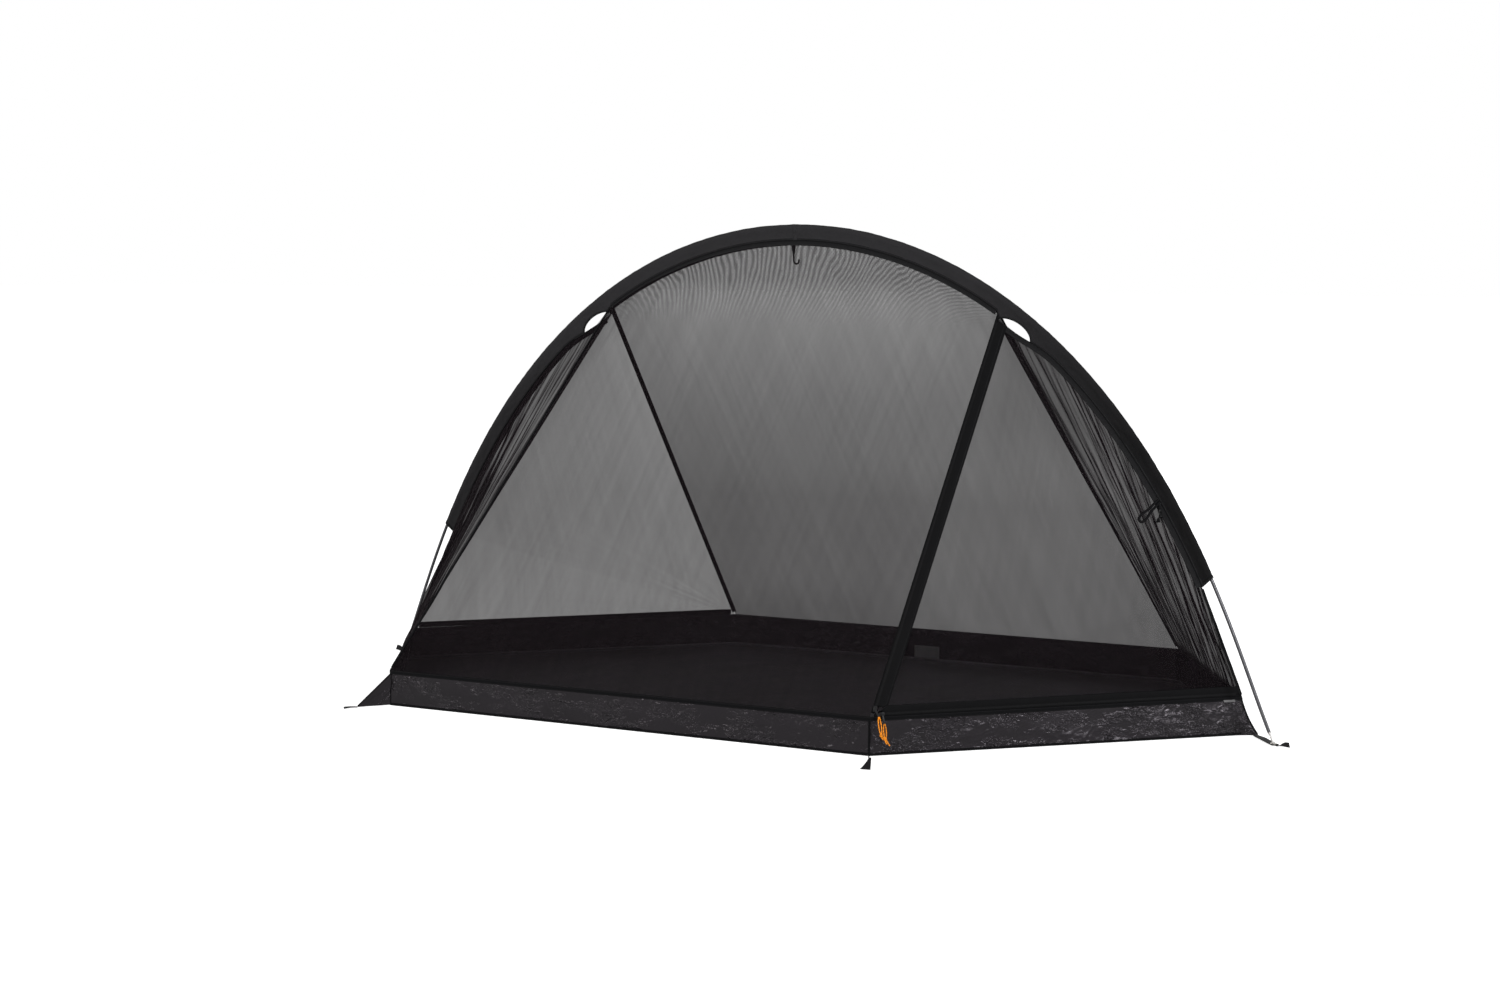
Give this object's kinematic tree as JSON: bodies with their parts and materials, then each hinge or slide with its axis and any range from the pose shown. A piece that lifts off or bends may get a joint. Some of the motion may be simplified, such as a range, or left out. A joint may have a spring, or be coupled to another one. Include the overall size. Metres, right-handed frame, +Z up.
{
  "type": "backpacking tent",
  "caption": "Pitched inner tent with one arched pole in a sleeve, see-through mesh panels, low coated walls and a zipped triangular door.",
  "frame": {"origin": "on the ground under the apex of the pole, at the centre of the floor", "axes": "+X along the pole's arch towards the door's end, +Y towards the back, +Z up; the door faces -Y"},
  "size_m": [2.3822, 1.156, 1.1498],
  "materials": {
    "mesh": "fine black polyester mesh, see-through",
    "coated": "coated nylon with a dull sheen",
    "webbing": "woven black tape",
    "sleeve": "matte woven nylon",
    "hem": "black edge binding",
    "pole_alloy": "dark anodised tube",
    "bare_alloy": "plain turned alloy",
    "eyelet_brass": "nickel-plated brass",
    "black_plastic": "black, satin",
    "grey_plastic": "grey, satin",
    "orange_cord": "bright orange cord",
    "label": "blank pale grey label"
  },
  "bodies": {
    "tent": {"mesh_front": "mesh", "mesh_back": "mesh", "mesh_back_left": "mesh", "mesh_right_end": "mesh", "mesh_left_end": "mesh", "door_fold_strip": "mesh", "floor": "coated", "wall_front": "coated", "wall_door": "coated", "wall_right_end": "coated", "wall_back": "coated", "wall_back_left": "coated", "wall_left_end": "coated", "corner_fin_front_left": "coated", "corner_fin_back_right": "coated", "zip_side_frame_tape": "webbing", "zip_bottom_frame_tape": "webbing", "foot_strap_right": "webbing", "foot_strap_left": "webbing", "tieback_loop": "webbing", "shock_cord": "webbing", "sleeve_right": "sleeve", "sleeve_left": "sleeve", "binding_back_right": "hem", "binding_front_left": "hem", "binding_back_left": "hem", "binding_right_edge": "hem", "binding_left_edge": "hem", "hem_front": "hem", "hem_back": "hem", "hem_door": "hem", "hem_back_left": "hem", "pole_section_1": "pole_alloy", "pole_section_2": "pole_alloy", "pole_section_3": "pole_alloy", "pole_section_4": "pole_alloy", "pole_section_5": "pole_alloy", "pole_section_6": "pole_alloy", "pole_section_7": "pole_alloy", "pole_section_8": "pole_alloy", "pole_tip_right": "bare_alloy", "pole_tip_left": "bare_alloy", "eyelet_right": "eyelet_brass", "eyelet_left": "eyelet_brass", "care_label": "label"},
    "door": {"door_mesh": "mesh", "zip_side_door_tape": "webbing", "zip_bottom_door_tape": "webbing"},
    "side_slider": {"slider_side": "black_plastic"},
    "bottom_slider": {"slider_bottom": "black_plastic"},
    "side_pull": {"pull_side": "orange_cord"},
    "bottom_pull": {"pull_bottom": "orange_cord"},
    "toggle": {"tieback_toggle": "grey_plastic"},
    "hook": {"apex_hook": "black_plastic"},
    "right_foot_loop": {"foot_loop_right": "webbing"},
    "left_foot_loop": {"foot_loop_left": "webbing"},
    "front_peg_loop": {"peg_loop_front": "webbing"},
    "back_peg_loop": {"peg_loop_back": "webbing"},
    "front_left_fin_loop": {"fin_loop_front_left": "webbing"},
    "back_right_fin_loop": {"fin_loop_back_right": "webbing"}
  },
  "joints": [
    {"name": "door_swing", "type": "hinge", "parent": "tent", "child": "door", "pos_m": [1.10352, 0.02088, 0.10563], "axis": [-0.5489, -0.0658, 0.8333], "range_deg": [0, 100]},
    {"name": "side_slider_run", "type": "slide", "parent": "tent", "child": "side_slider", "axis": [0.1435, 0.4542, 0.8792], "range_m": [0, 0.912]},
    {"name": "bottom_slider_run", "type": "slide", "parent": "tent", "child": "bottom_slider", "axis": [0.8094, 0.5873, 0.0004], "range_m": [0, 0.807]},
    {"name": "side_pull_swing", "type": "hinge", "parent": "side_slider", "child": "side_pull", "pos_m": [0.37287, -0.44333, 0.10589], "axis": [-0.8176, -0.5759, 0], "range_deg": [0, 70]},
    {"name": "bottom_pull_swing", "type": "hinge", "parent": "bottom_slider", "child": "bottom_pull", "pos_m": [0.38804, -0.43822, 0.09245], "axis": [-0.8176, -0.5759, 0], "range_deg": [0, 80]},
    {"name": "toggle_swing", "type": "hinge", "parent": "tent", "child": "toggle", "pos_m": [0.88661, -0.00876, 0.52217], "axis": [-0.8699, -0.4933, 0], "range_deg": [0, 80]},
    {"name": "hook_swing", "type": "hinge", "parent": "tent", "child": "hook", "pos_m": [-0.00481, 0, 1.10579], "axis": [1, 0, 0], "range_deg": [-15, 15]},
    {"name": "right_foot_loop_lift", "type": "hinge", "parent": "tent", "child": "right_foot_loop", "pos_m": [1.15986, -0.00869, 0.0015], "axis": [-0.225, -0.9744, 0], "range_deg": [0, 80]},
    {"name": "left_foot_loop_lift", "type": "hinge", "parent": "tent", "child": "left_foot_loop", "pos_m": [-1.15986, 0.00869, 0.0015], "axis": [0.225, 0.9744, 0], "range_deg": [0, 80]},
    {"name": "front_peg_loop_lift", "type": "hinge", "parent": "tent", "child": "front_peg_loop", "pos_m": [0.36284, -0.45022, 0.0015], "axis": [-0.9563, -0.2924, 0], "range_deg": [0, 80]},
    {"name": "back_peg_loop_lift", "type": "hinge", "parent": "tent", "child": "back_peg_loop", "pos_m": [-0.36284, 0.45022, 0.0015], "axis": [0.9563, 0.2924, 0], "range_deg": [0, 80]},
    {"name": "front_left_fin_loop_lift", "type": "hinge", "parent": "tent", "child": "front_left_fin_loop", "pos_m": [-0.90774, -0.55095, 0.0015], "axis": [-0.6259, 0.7799, 0], "range_deg": [0, 80]},
    {"name": "back_right_fin_loop_lift", "type": "hinge", "parent": "tent", "child": "back_right_fin_loop", "pos_m": [0.90774, 0.55095, 0.0015], "axis": [0.6259, -0.7799, 0], "range_deg": [0, 80]}
  ]
}
